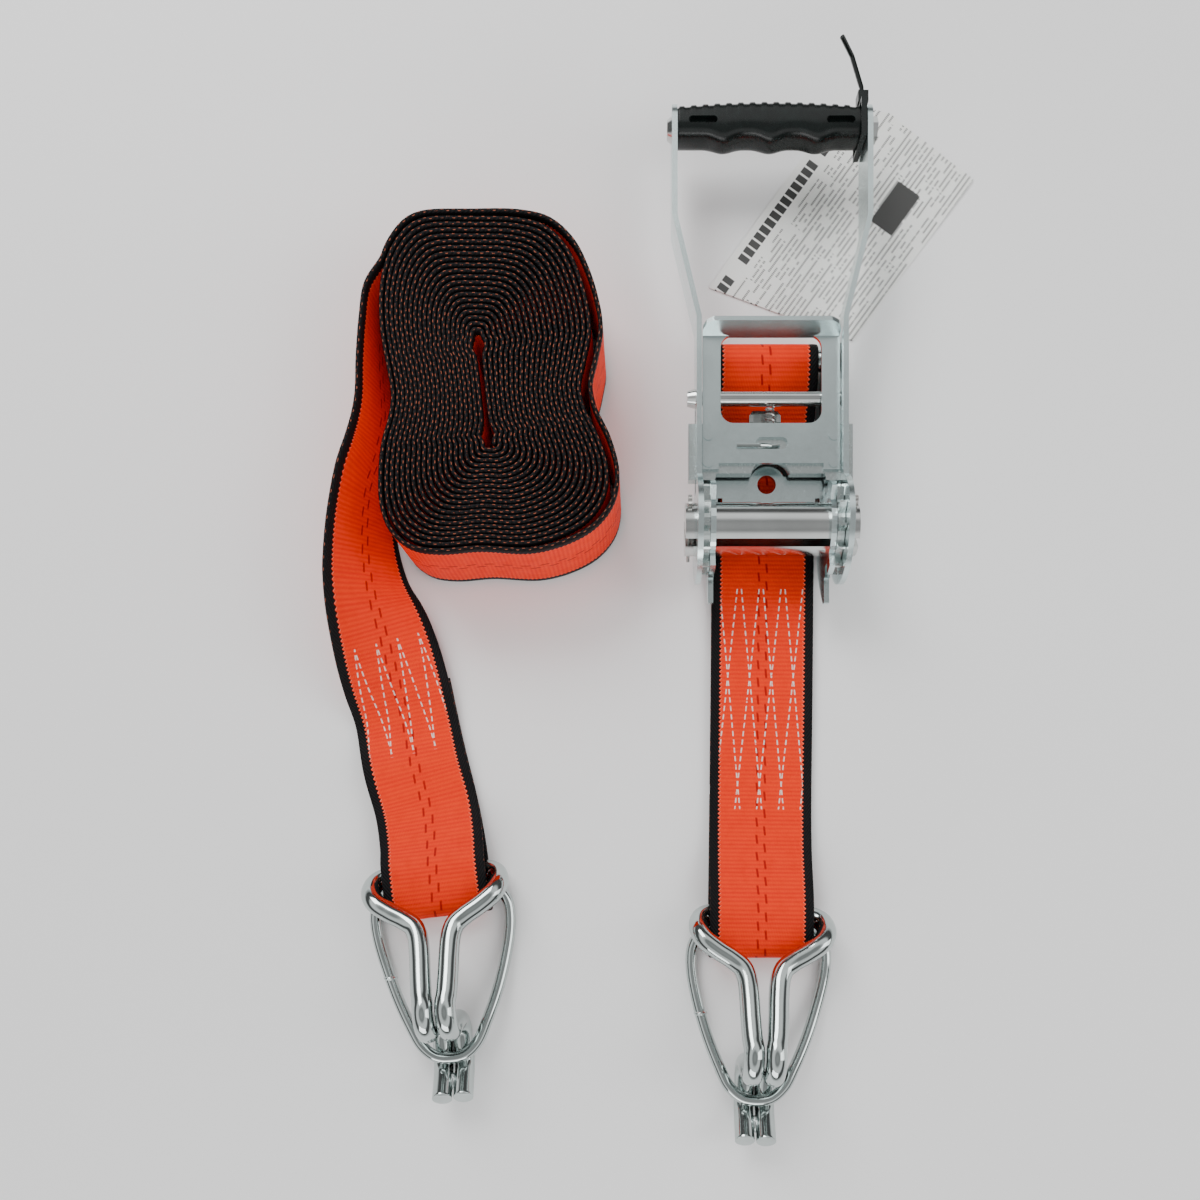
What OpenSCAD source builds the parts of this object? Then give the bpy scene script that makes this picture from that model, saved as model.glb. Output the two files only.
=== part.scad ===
// Ratchet tie-down: ratchet with short strap and hook, rolled long strap with hook, card tag.
// Lies on the floor, +Z up, ratchet handle towards +Y, hooks towards -Y. Millimetres.

/* [Webbing] */
// Strap width
strap_w = 50; // [25:1:75]
// Strap thickness
strap_t = 2.2; // [1.5:0.1:4]

/* [Ratchet] */
// Mandrel radius
mandrel_r = 12; // [8:0.5:16]
// Mandrel length
mandrel_len = 80; // [76:1:90]
// Ratchet wheel tip radius
wheel_tip = 20.4; // [18:0.1:24]
// Teeth on each ratchet wheel
wheel_teeth = 12; // [8:1:16]
// Base side plate thickness
base_t = 2.5; // [2:0.1:3.5]
// Handle plate thickness
handle_t = 2.5; // [2:0.1:3.5]
// Handle grip distance from the mandrel
grip_y = 187.3; // [150:0.5:220]

/* [Hooks] */
// Hook wire radius
hook_r = 4.8; // [3:0.1:7]
// Keeper wire radius
keeper_r = 2.8; // [1.5:0.05:4]

/* [Hidden] */
$fn = 48;
eps = 0.01;

// Ratchet origin: mandrel axis on the floor plan
ratchet_x = 51;
ratchet_y = 38.2;
axis_z = 26;
slot_gap = 4;
slot_tilt = 46;
run_gap = 0.05;

base_in = 26.25;
base_mid = base_in + base_t / 2;
rim_r = 21.9;
rim_low = 15.3;
plate_h = 21.3;
bolt_y = 86.5;
bolt_z = 10.65;
bolt_r = 5;
web_z = 18.8;
web_t = 2.5;
web_hole_y = 22.8;

wheel_x = 29.0;
wheel_t = 3.2;
wheel_root = 15.5;
tooth_at = 9;

disc_r = 24.8;
handle_in = 32.5;
handle_mid = handle_in + handle_t / 2;
handle_out = 11.25;
flare_a = 95;
flare_b = 142;
handle_z0 = 16;
handle_z1 = 36;
grip_half = handle_mid + handle_out - handle_t / 2;
rod_y = 61.8;
rod_z = 25;
rod_r = 3.35;

pawl_z = 23.5;
pawl_t = 5;
lever_z = pawl_z + pawl_t;
lever_t = 1.8;

short_hook_at = [49, -143.9];
short_hook_yaw = -2;
long_hook_at = [-108.8, -123.6];
long_hook_yaw = 5;
bar_z = 8;

steel = [0.74, 0.77, 0.8];
bright = [0.62, 0.64, 0.67];
web_colour = [1.0, 0.29, 0.07];
black = [0.04, 0.04, 0.045];
paper = [0.93, 0.93, 0.9];

function unit(v) = v / norm(v);
function heading(p, i, loop) =
  let (n = len(p),
    a = loop ? p[(i - 1 + n) % n] : p[max(i - 1, 0)],
    b = loop ? p[(i + 1) % n] : p[min(i + 1, n - 1)])
  unit(b - a);
function upright(u, d) = unit(u - (u * d) * d);

// Round wire along a route; up is the first frame vector, near square to the route start
module wire(p, r, up, loop = false, sides = 16) {
  n = len(p);
  d = [for (i = [0:n - 1]) heading(p, i, loop)];
  f = [for (i = 0, u = upright(up, d[0]); i < n;
    i = i + 1, u = i < n ? upright(u, d[i]) : u) u];
  pts = [for (i = [0:n - 1]) let (u = f[i], v = cross(d[i], u))
    for (k = [0:sides - 1]) let (a = 360 * k / sides)
      p[i] + r * (cos(a) * u + sin(a) * v)];
  rows = loop ? n : n - 1;
  sidefaces = [for (i = [0:rows - 1]) for (k = [0:sides - 1])
    let (a = i * sides + k, b = i * sides + (k + 1) % sides,
      c = ((i + 1) % n) * sides + (k + 1) % sides, e = ((i + 1) % n) * sides + k)
    each [[a, c, b], [a, e, c]]];
  caps = loop ? [] : [[for (k = [0:sides - 1]) k],
    [for (k = [sides - 1:-1:0]) (n - 1) * sides + k]];
  polyhedron(pts, concat(sidefaces, caps), convexity = 8);
}

// Flat ribbon through stations of [left edge, right edge, face normal]
module ribbon(s, t) {
  n = len(s);
  pts = [for (q = s) let (o = t / 2 * unit(q[2]))
    each [q[0] - o, q[1] - o, q[1] + o, q[0] + o]];
  faces = concat([[0, 1, 2, 3]],
    [for (i = [0:n - 2]) for (k = [0:3])
      let (a = 4 * i + k, b = 4 * i + (k + 1) % 4) each [[b, a, a + 4], [b, a + 4, b + 4]]],
    [[4 * n - 1, 4 * n - 2, 4 * n - 3, 4 * n - 4]]);
  polyhedron(pts, faces, convexity = 6);
}

function arc(c, r, a0, a1, n) = [for (i = [0:n]) let (a = a0 + (a1 - a0) * i / n)
  c + r * [cos(a), sin(a)]];
function mirrored(p) = [for (i = [len(p) - 1:-1:0]) [-p[i][0], p[i][1]]];

// Plan outline in the YZ plane turned into a plate standing across X
module across_x(x0, w) {
  translate([x0, 0, 0]) rotate([90, 0, 90]) linear_extrude(w) children();
}
module both_sides() { children(); mirror([1, 0, 0]) children(); }
// The rolled strap and the tag are laid out in their own plan and moved by this
layout_x = 7.2;
module at_layout() { translate([layout_x, 0, 0]) children(); }
module at_ratchet() { translate([ratchet_x, ratchet_y, 0]) children(); }
module rod_x(x0, x1, y, z, r) {
  translate([x0, y, z]) rotate([0, 90, 0]) cylinder(r = r, h = x1 - x0);
}

/* base */
module base_side_outline() {
  difference() {
    union() {
      translate([0, 0]) square([bolt_y, plate_h]);
      translate([bolt_y, bolt_z]) circle(r = plate_h / 2);
      translate([0, axis_z]) polygon(concat(
        arc([0, 0], rim_r, -30, 45, 12), arc([0, 0], rim_low, 48, 150, 14),
        arc([0, 0], rim_r, 153, 230, 12)));
      polygon([[0, 1.5], [-8, 1.5], [-17, 5], [-26, 11.5], [-33, 18], [-33, 21],
        [-21, 21], [0, 26]]);
    }
    translate([0, axis_z]) circle(r = mandrel_r + run_gap);
    translate([15.2, 14.3]) square([30.8, 4.4]);
    translate([16.5, pawl_z - 0.3]) square([9, 7.4]);
    translate([-25.5, pawl_z - 0.3]) square([9, pawl_t + 0.6]);
  }
}

module base_frame() color(steel) at_ratchet() {
  difference() {
    union() {
      both_sides() across_x(base_in, base_t) base_side_outline();
      intersection() {
        translate([-base_in - 1, 0, web_z]) linear_extrude(web_t) difference() {
          union() {
            translate([0, 14.6]) square([2 * base_in + 2, 12]);
            translate([base_in, web_hole_y]) circle(r = 8.8);
          }
          translate([base_in, web_hole_y]) circle(r = 4.4);
          for (x = [4.2, 2 * base_in - 2.2]) translate([x - 1.1, 13]) square([2.2, 3.4]);
        }
        translate([-base_in - 1, 0, 0]) cube([2 * base_in + 2, 60, 30]);
      }
    }
    both_sides() {
      rod_x(base_in - 1, base_in + base_t + 1, bolt_y, bolt_z, bolt_r);
      translate([base_in - 1, 50, 14.9]) cube([base_t + 2, 3.5, 3.2]);
    }
  }
}

module strap_bolt() color(bright) at_ratchet() {
  rod_x(-28.75, 31.5, bolt_y, bolt_z, bolt_r);
  translate([-30.3, bolt_y, bolt_z]) rotate([0, 90, 0]) cylinder(r1 = 6.2, r2 = 7.5, h = 1.55);
}
module strap_bolt_nut() color(bright) at_ratchet() {
  translate([28.75, bolt_y, bolt_z]) rotate([0, 90, 0]) difference() {
    cylinder(r = 8, h = 2.6, $fn = 6);
    translate([0, 0, -1]) cylinder(r = bolt_r, h = 5);
  }
}
module spring_stop() color(bright) at_ratchet() {
  translate([-28.75, 50, 14.9]) cube([57.5, 3.5, 3.2]);
  translate([-9, 53.4, 13.4]) difference() {
    linear_extrude(6) polygon([[0, 0], [0, 3], [1.6, 5.2], [13.4, 5.2], [15, 3], [15, 0]]);
    translate([2, -1, 1.6]) cube([11, 4.6, 6]);
  }
}
lock_half = [[0, 29.5], [7, 29.5], [7, 20], [25, 20], [26, 15.5], [32.2, 15.5], [32.2, 40], [0, 40]];
module lock_pawl() color(steel) at_ratchet()
  translate([0, 0, 14.5]) linear_extrude(4) polygon(concat(lock_half, mirrored(lock_half)));
module coil(y0, y1, z, r, turns) {
  n = turns * 10;
  wire([for (i = [0:n]) [r * cos(36 * i), y0 + (y1 - y0) * i / n, z + r * sin(36 * i)]],
    0.5, [0, 1, 0.3], sides = 6);
}
module lock_pawl_spring() color(bright) at_ratchet() coil(40.6, 49.4, 16.5, 2.4, 5);

// Fixed strap: a loop round the bolt, two plies, a longer loop round the hook bar
module fixed_strap_outline() {
  outer = [for (a = [-90:15:90]) [bolt_y + 7.6 * cos(a), bolt_z + 7.6 * sin(a)]];
  inner = [for (a = [-90:15:90]) [bolt_y + 5.4 * cos(a), bolt_z + 5.4 * sin(a)]];
  hb = [for (a = [90:15:270]) [-195.2 + 7.6 * cos(a), 8.2 + 7.6 * sin(a)]];
  hi = [for (a = [90:15:270]) [-195.2 + 5.4 * cos(a), 8.2 + 5.4 * sin(a)]];
  difference() {
    polygon(concat(outer, [[76, 17], [66, 10.4], [58, 6], [50, 4.9], [-136, 4.9], [-152, 7.4],
      [-168, 13.4], [-176, 15.4], [-184, 15.8]], hb, [[-176, 0.3], [-150, 0.2], [66, 0.2], [76, 2]]));
    polygon(concat(inner, [[76, 14.4], [66, 7.4], [58, 3.2], [54, 2.5], [66, 2.5], [76, 4.2]]));
    polygon(concat([[-184, 13.6], [-176, 13.2], [-168, 11], [-152, 5], [-146, 2.5], [-172, 2.5]],
      [for (i = [len(hi) - 1:-1:0]) hi[i]]));
  }
}
module fixed_strap() color(web_colour) at_ratchet()
  translate([-0.6, bolt_y, 0]) rotate([0, 0, -0.3]) translate([0, -bolt_y, 0])
    across_x(-strap_w / 2, strap_w) fixed_strap_outline();

/* handle */
module handle_side_outline() {
  difference() {
    union() {
      translate([0, axis_z]) circle(r = disc_r);
      translate([0, handle_z0]) square([grip_y - 0.2, handle_z1 - handle_z0]);
      translate([grip_y, axis_z]) circle(r = (handle_z1 - handle_z0) / 2);
    }
    translate([0, axis_z]) circle(r = mandrel_r + run_gap);
    translate([16.6, pawl_z - 0.2]) square([39.8, pawl_t + 0.4]);
    translate([rod_y, rod_z]) circle(r = rod_r);
    translate([grip_y, axis_z]) circle(r = 3);
  }
}
module handle_plan() {
  t = handle_t / 2;
  m = handle_mid;
  polygon([[m - t, -30], [m - t, flare_a], [m + handle_out - t, flare_b],
    [m + handle_out - t, 210], [m + handle_out + t, 210], [m + handle_out + t, flare_b],
    [m + t, flare_a], [m + t, -30]]);
}
module handle_plate() {
  intersection() {
    across_x(25, 30) handle_side_outline();
    linear_extrude(60) handle_plan();
  }
}
module handle_plate_left() color(steel) at_ratchet() mirror([1, 0, 0]) handle_plate();
module handle_plate_right() color(steel) at_ratchet() handle_plate();

function scallop(x) = 6.8 + (abs(x) > 33 ? 0 : 2.1 * pow(abs(cos(x * 180 / 22)), 5));
module grip_plan() {
  h = grip_half - 0.02;
  step = h / 16;
  polygon(concat([for (x = [-h:h / 24:h - 0.1]) [x, -scallop(x)]], [[h, -6.8]],
    [for (i = [0:15]) let (x = h - 2 * step * i, b = 6.7 + 2.5 * (1 - pow((x - step) / h, 2)))
      each [[x, b + 0.8], [x - step * 0.9, b + 0.8], [x - step, b], [x - step * 1.9, b]]],
    [[-h, 6.7]]));
}
module handle_grip() color(black) at_ratchet() {
  difference() {
    intersection() {
      translate([0, grip_y, 0]) linear_extrude(60) grip_plan();
      across_x(-50, 100) translate([grip_y, axis_z]) offset(4) square([15.9, 8.6], center = true);
    }
    both_sides() translate([32, grip_y - 0.4, 31.6]) linear_extrude(6)
      hull() for (x = [-4.8, 4.8]) translate([x, 0]) circle(r = 1.65, $fn = 24);
    rod_x(-50, 50, grip_y, axis_z, 3);
  }
}
module grip_bolt() color(bright) at_ratchet() {
  rod_x(-grip_half - 2.5, grip_half + 6.4, grip_y, axis_z, 3);
  translate([-grip_half - 4.6, grip_y, axis_z]) rotate([0, 90, 0]) cylinder(r1 = 4, r2 = 5.6, h = 2.1);
}
module grip_nut() color(bright) at_ratchet() {
  translate([grip_half + 2.5, grip_y, axis_z]) rotate([0, 90, 0]) difference() {
    union() {
      cylinder(r = 6.4, h = 0.9);
      translate([0, 0, 0.9]) cylinder(r = 5.4, h = 2.6, $fn = 6);
    }
    translate([0, 0, -1]) cylinder(r = 3, h = 6);
  }
}
module handle_cross_rod() color(bright) at_ratchet() {
  rod_x(-37.6, 36.2, rod_y, rod_z, rod_r);
  translate([-38.8, rod_y, rod_z]) rotate([0, 90, 0]) cylinder(r1 = 3.4, r2 = 4.4, h = 3.8);
}

// Cable tie: a band round the grip's end with its head, and a long free tail
module zip_tie() color(black) at_ratchet() {
  across_x(40.9, 2.5) translate([grip_y + 0.4, axis_z]) difference() {
    square([17.2, 19.4], center = true);
    square([15.2, 17.4], center = true);
  }
  translate([40.9, grip_y + 8.8, axis_z - 1]) cube([2.5, 3, 3.6]);
  translate([40.6, grip_y + 11, axis_z - 2]) cube([4.8, 5.2, 6]);
  wire([[43, grip_y + 14, axis_z + 1.4], [42.2, grip_y + 18, axis_z + 3],
    [36.8, grip_y + 28.6, axis_z + 8], [30.6, grip_y + 31.3, axis_z + 16]],
    1.1, [0, 0, 1], sides = 6);
}

/* drive pawl unit */
pawl_half = [[0, 25.5], [25.4, 25.5], [26, 22.4], [38.4, 22.4], [38.4, 48.7], [0, 48.7]];
module drive_pawl_plan() {
  difference() {
    polygon(concat(pawl_half, mirrored(pawl_half)));
    translate([0, web_hole_y]) circle(r = 9.5);
    translate([-6.5, 42.8]) square([13, 7]);
  }
}
module drive_pawl() color(steel) at_ratchet()
  translate([0, 0, pawl_z]) linear_extrude(pawl_t) drive_pawl_plan();

module lever_plan() {
  difference() {
    union() {
      translate([-31.9, 29.7]) square([63.8, 60.4]);
      both_sides() translate([24.4, 26.8]) square([7.5, 8]);
    }
    offset(6) translate([-17.5, 54.3]) square([35, 28.9]);
    hull() for (x = [-4.7, 4.7]) translate([x + 0.3, 39]) circle(r = 2.8);
    both_sides() for (y = [30.1, 42.7]) translate([29.2, y]) circle(r = 2.5);
  }
}
module release_lever() color(steel) at_ratchet() {
  translate([0, 0, lever_z]) linear_extrude(lever_t) lever_plan();
  intersection() {
    translate([0, 90.1, lever_z]) rotate([-21, 0, 0]) translate([-31.9, -1.8, 0]) cube([63.8, 1.8, 12]);
    translate([0, 120, lever_z]) rotate([90, 0, 0]) linear_extrude(60)
      polygon([[-31.9, 0], [31.9, 0], [31.9, 5], [30.4, 8], [27, 9.8], [-27, 9.8], [-30.4, 8],
        [-31.9, 5]]);
  }
}
module lever_rivets() color(steel) at_ratchet()
  both_sides() for (y = [30.1, 42.7]) translate([29.2, y, lever_z]) cylinder(r = 2.5, h = 2.4);
module drive_pawl_spring() color(bright) at_ratchet() coil(43.4, 57.8, 25.9, 1.85, 6);
module spring_retainer() color(bright) at_ratchet() {
  wire([[-16, 37.6, lever_z + lever_t + 0.9], [-5, 37.6, lever_z + lever_t + 0.9],
    [-2.2, 37.8, lever_z + 2], [0, 38, lever_z + 0.9], [4, 38.4, lever_z + 0.9]], 0.9, [0, 0, 1], sides = 10);
}

/* mandrel */
module mandrel_half(s) {
  rotate([slot_tilt, 0, 0]) intersection() {
    rod_x(-mandrel_len / 2, mandrel_len / 2, 0, 0, mandrel_r);
    translate([-50, s > 0 ? slot_gap / 2 : -30, -30]) cube([100, 30 - slot_gap / 2, 60]);
  }
}
module pin_holes() rotate([slot_tilt, 0, 0]) for (x = [-38, 38])
  translate([x, 0, 0]) rotate([90, 0, 0]) cylinder(r = 1.1, h = 40, center = true, $fn = 32);
module at_mandrel() { at_ratchet() translate([0, 0, axis_z]) children(); }
module mandrel_half_front() color(bright) at_mandrel() difference() { mandrel_half(-1); pin_holes(); }
module mandrel_half_rear() color(bright) at_mandrel() difference() { mandrel_half(1); pin_holes(); }
module ratchet_wheel() {
  step = 360 / wheel_teeth;
  across_x(wheel_x, wheel_t) difference() {
    polygon([for (k = [0:wheel_teeth - 1]) let (a = tooth_at + k * step)
      for (q = [[wheel_root, a - 12], [wheel_root, a - 6], [wheel_root, a], [wheel_tip, a],
        [wheel_tip, a + 3], [wheel_root, a + 11]]) q[0] * [cos(q[1]), sin(q[1])]]);
    circle(r = mandrel_r);
  }
}
module ratchet_wheel_left() color(steel) at_mandrel() mirror([1, 0, 0]) ratchet_wheel();
module ratchet_wheel_right() color(steel) at_mandrel() ratchet_wheel();
module split_pin(x) {
  rotate([slot_tilt, 0, 0]) translate([x, 0, 0]) {
    translate([0, 13, 0]) rotate([90, 0, 0]) cylinder(r = 1.1, h = 26.4, $fn = 32);
    translate([0, 14.6, 0]) rotate([0, 90, 0]) difference() {
      cylinder(r = 2.4, h = 1.8, center = true, $fn = 32);
      cylinder(r = 1.2, h = 4, center = true, $fn = 32);
    }
    for (s = [-1, 1]) translate([0, -13.2, 0]) rotate([90 + 26 * s, 0, 0])
      cylinder(r = 0.75, h = 3.2, $fn = 16);
  }
}
module split_pin_left() color(bright) at_mandrel() split_pin(-38);
module split_pin_right() color(bright) at_mandrel() split_pin(38);

/* hooks: s runs from the bar towards the tips, u sideways, z up */
module at_hook(p, yaw) { translate([p[0], p[1], 0]) rotate([0, 0, yaw]) children(); }
// Side view of one wire from the neck to the tip: [s, z]
hook_side = concat(
  [for (a = [120:-15:-15]) [63.2 + 9.5 * cos(a), 33.5 + 9.5 * sin(a)]],
  [[71.2, 24], [70.7, 18.6]],
  [for (a = [180:15:270]) [80 + 9.5 * cos(a), 14.4 + 9.5 * sin(a)]],
  [[89, 4.9], [92.4, 5.3], [95.4, 6.8], [98, 9], [107.4, 17.6]]);
// One side of the eye: [half width, s, z]; it rises steeply past the strap's fold
eye = [[24, 0, 8], [26.5, 0.4, 8.4], [28.9, 1.7, 9.9], [30.45, 4.2, 13.2], [30.35, 7.4, 17.4],
  [27.8, 11.4, 20.8], [21.6, 16, 22.2], [14.6, 20.2, 23.2], [10, 23.8, 24.6], [8.2, 27.4, 26.3],
  [7.4, 31, 28], [6.8, 38, 31.2], [6.4, 46, 35.1], [5.7, 55, 39.7]];
function hook_path(side) = concat(
  [for (q = eye) [side * q[0], -q[1], q[2]]],
  [for (q = hook_side) [side * 5.1, -q[0], q[1]]]);
module hook() {
  rod_x(-24.5, 24.5, 0, bar_z, hook_r);
  for (side = [-1, 1]) wire(hook_path(side), hook_r - 0.04, [0, 0, 1], sides = 14);
  // weld beads joining the two wires
  translate([-1.4, -104, 9.4]) cube([2.8, 8, 5]);
  translate([-1.4, -60, 38]) cube([2.8, 6, 4]);
}
// Keeper ring, an open-necked pear in plan, rising slightly towards its arc
keeper_half = [[0, -8.9, 7.6], [14, -8.9, 7.6], [20, -8.9, 7.2], [24, -9, 6.3], [27, -9.6, 5.3],
  [30.4, -12, 4.1], [32.6, -17, 3.3], [33, -23, 3.1], [32.2, -31, 3.1], [28.6, -46, 4.6],
  [24, -60, 7.4], [18.4, -73, 10.4], [13.4, -82.4, 12.2], [7, -87.8, 13], [0, -89, 13.1]];
module keeper() {
  n = len(keeper_half);
  wire(concat([for (i = [0:n - 1]) keeper_half[i]],
    [for (i = [n - 2:-1:1]) [-keeper_half[i][0], keeper_half[i][1], keeper_half[i][2]]]),
    keeper_r, [0, 0, 1], loop = true, sides = 12);
}
module hook_short() color(bright) at_hook(short_hook_at, short_hook_yaw) hook();
module keeper_short() color(bright) at_hook(short_hook_at, short_hook_yaw) keeper();
module hook_long() color(bright) at_hook(long_hook_at, long_hook_yaw) hook();
module keeper_long() color(bright) at_hook(long_hook_at, long_hook_yaw) keeper();

/* long strap */
// Rolled strap: one closed outline, waisted, with the free length leaving at its left
hank_edge = [[-114, 173], [-92, 173.6], [-70, 173], [-57.5, 169.5], [-47.5, 160], [-41.5, 147.5],
  [-37.5, 133.5], [-36, 121.5], [-38.5, 107.5], [-41, 96], [-38.5, 84.5], [-32, 72], [-27.5, 56.5],
  [-29, 44], [-36, 33.5], [-47.5, 26], [-65, 20.8], [-89.5, 21.2], [-108.5, 19.6], [-121, 21.5],
  [-130, 28.5], [-134.5, 39], [-135.5, 54], [-134, 69.5], [-130.5, 82], [-129.5, 91],
  [-131.8, 105], [-134.6, 120.5], [-135, 139.5], [-132, 155], [-126.5, 165], [-121, 170.4]];
hank_tongue = [[-116, 173.2], [-126.6, 168], [-134, 158.1], [-132.2, 156.85], [-122, 160], [-110, 160]];
function catmull(p, m) = [for (i = [0:len(p) - 1]) for (j = [0:m - 1])
  let (n = len(p), t = j / m, a = p[(i + n - 1) % n], b = p[i], c = p[(i + 1) % n], d = p[(i + 2) % n])
  0.5 * (2 * b + (c - a) * t + (2 * a - 5 * b + 4 * c - d) * t * t
    + (3 * b - a - 3 * c + d) * t * t * t)];
module strap_hank() color(web_colour) at_layout() difference() {
  linear_extrude(strap_w) union() {
    polygon(catmull(hank_edge, 2));
    polygon(hank_tongue);
  }
  for (p = [[-89.5, 114.5], [-84.5, 73]]) translate([p[0], p[1], -1]) linear_extrude(60)
    polygon(arc([0, 0], 2.4, 0, 345, 23) * [[1, 0], [0, 2.2]]);
}

// Free length in plan, [left x, left y, right x, right y]; the strap turns from edge-on to flat
tail_plan = [[-139, 141, -137.3, 142], [-141.5, 126, -137.2, 127], [-143, 108, -135.5, 110],
  [-144.5, 90, -133.5, 93], [-149, 72, -134.5, 77], [-153.5, 56, -137.6, 61],
  [-157.5, 38, -137.2, 44], [-160.3, 20, -134, 27], [-161.5, 4, -127, 9], [-161.3, -14, -118, -10],
  [-160, -32, -111.3, -30], [-157, -48, -107, -48],
  [-151.8, -73.4, -102.2, -69], [-145.9, -95.7, -96.7, -87.9]];
function tail_rise(q) = sqrt(max(0, pow(strap_w - 0.2, 2) - pow(q[0] - q[2], 2) - pow(q[1] - q[3], 2)));
tail_lift = 1.3;
function tail_ends(q) = [[q[0], q[1], tail_lift + tail_rise(q) - (q[1] > 60 ? 1.2 : 0)],
  [q[2], q[3], tail_lift - (q[1] > 60 ? 1.2 : 0)]];
tail_pairs = [for (q = tail_plan) tail_ends(q)];
tail_stations = concat([[[-133.1, 157.475, 50], [-133.1, 157.475, 0], [1.8, -1.25, 0]]],
  [for (i = [0:len(tail_pairs) - 1]) let (e = tail_pairs[i],
    a = tail_pairs[max(i - 1, 0)], b = tail_pairs[min(i + 1, len(tail_pairs) - 1)])
    [e[0], e[1], cross(e[1] - e[0], -(b[0] + b[1] - a[0] - a[1]))]]);
loop_at = [-109.2, -123.6];
loop_yaw = 7;
module strap_tail() color(web_colour) {
  at_layout() ribbon(tail_stations, strap_t);
  at_hook(loop_at, loop_yaw) across_x(-strap_w / 2, strap_w) difference() {
    polygon(concat([[38, 0.2], [38, 4.6], [26, 6.4], [15, 12], [7, 15.2], [0, 15.8]],
      [for (a = [90:15:270]) [-13.6 + 7.6 * cos(a), 8.2 + 7.6 * sin(a)]], [[10, 0.2]]));
    polygon(concat([[22, 2.5], [14, 9.4], [6, 13.1], [0, 13.6]],
      [for (a = [90:15:270]) [-13.6 + 5.4 * cos(a), 8.2 + 5.4 * sin(a)]], [[10, 2.5]]));
  }
}

/* tag: one card lying on the floor */
module tag_card() color(paper) at_layout() {
  translate([0, 0, 0.2]) linear_extrude(0.8)
    polygon([[17, 166], [64, 231.5], [93, 252], [99, 253.6], [106, 252], [147.6, 219.2], [88, 139.8]]);
}

base_frame();
strap_bolt();
strap_bolt_nut();
spring_stop();
lock_pawl();
lock_pawl_spring();
fixed_strap();
handle_plate_left();
handle_plate_right();
handle_grip();
grip_bolt();
grip_nut();
handle_cross_rod();
zip_tie();
drive_pawl();
release_lever();
lever_rivets();
drive_pawl_spring();
spring_retainer();
mandrel_half_front();
mandrel_half_rear();
ratchet_wheel_left();
ratchet_wheel_right();
split_pin_left();
split_pin_right();
hook_short();
keeper_short();
strap_hank();
strap_tail();
hook_long();
keeper_long();
tag_card();
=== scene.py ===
import math
import bmesh
import bpy
import numpy as np
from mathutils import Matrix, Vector


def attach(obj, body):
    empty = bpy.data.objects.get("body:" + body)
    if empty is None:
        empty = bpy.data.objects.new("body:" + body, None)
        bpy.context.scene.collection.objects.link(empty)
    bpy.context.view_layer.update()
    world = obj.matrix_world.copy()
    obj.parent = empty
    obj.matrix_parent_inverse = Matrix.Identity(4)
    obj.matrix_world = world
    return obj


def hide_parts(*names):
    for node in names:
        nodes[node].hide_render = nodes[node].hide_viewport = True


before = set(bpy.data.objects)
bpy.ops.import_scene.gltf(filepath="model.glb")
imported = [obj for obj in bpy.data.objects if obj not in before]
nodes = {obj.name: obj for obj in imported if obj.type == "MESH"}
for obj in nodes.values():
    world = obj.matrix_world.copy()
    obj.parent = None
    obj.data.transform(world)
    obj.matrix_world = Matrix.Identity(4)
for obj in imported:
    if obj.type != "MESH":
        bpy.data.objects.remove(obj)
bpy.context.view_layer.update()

MM = 0.001

# ---------------------------------------------------------------- small shader builder


class Nodes:
    """Adds shader nodes and links them in short calls."""

    def __init__(self, name):
        self.m = bpy.data.materials.new(name)
        self.m.use_nodes = True
        self.t = self.m.node_tree
        self.b = self.t.nodes["Principled BSDF"]

    def put(self, kind, values=None, **props):
        n = self.t.nodes.new(kind)
        for k, v in props.items():
            setattr(n, k, v)
        for k, v in (values or {}).items():
            self.wire(v, n.inputs[k])
        return n

    def wire(self, v, socket):
        if isinstance(v, bpy.types.NodeSocket):
            self.t.links.new(v, socket)
        elif isinstance(v, bpy.types.Node):
            self.t.links.new(v.outputs[0], socket)
        else:
            socket.default_value = v

    def math(self, op, a, b=0.0, c=0.0):
        n = self.put("ShaderNodeMath", operation=op)
        for i, v in enumerate((a, b, c)):
            self.wire(v, n.inputs[i])
        return n.outputs[0]

    def mix(self, f, a, b):
        n = self.put("ShaderNodeMix", data_type="RGBA")
        self.wire(f, n.inputs[0])
        self.wire(a, n.inputs[6])
        self.wire(b, n.inputs[7])
        return n.outputs[2]

    def noise(self, vec, scale, detail=2.0, rough=0.5):
        n = self.put("ShaderNodeTexNoise", {"Scale": scale, "Detail": detail, "Roughness": rough})
        if vec is not None:
            self.wire(vec, n.inputs["Vector"])
        return n.outputs[0]

    def ramp(self, x, lo, hi):
        n = self.put("ShaderNodeMapRange", {"Value": x, "From Min": lo, "From Max": hi})
        return n.outputs[0]

    def bump(self, height, dist, strength=1.0, base=None):
        n = self.put("ShaderNodeBump", {"Strength": strength, "Distance": dist, "Height": height})
        if base is not None:
            self.wire(base, n.inputs["Normal"])
        return n.outputs[0]

    def object_mm(self, scale=(1, 1, 1)):
        tc = self.put("ShaderNodeTexCoord")
        mp = self.put("ShaderNodeMapping", {"Vector": tc.outputs["Object"]})
        mp.inputs["Scale"].default_value = tuple(1000 * s for s in scale)
        return mp.outputs[0]

    def finish(self, colour, rough, metal=0.0, normal=None, **more):
        self.wire(colour, self.b.inputs["Base Color"])
        self.wire(rough, self.b.inputs["Roughness"])
        self.b.inputs["Metallic"].default_value = metal
        if normal is not None:
            self.wire(normal, self.b.inputs["Normal"])
        for k, v in more.items():
            self.wire(v, self.b.inputs[k.replace("_", " ")])
        return self.m


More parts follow.
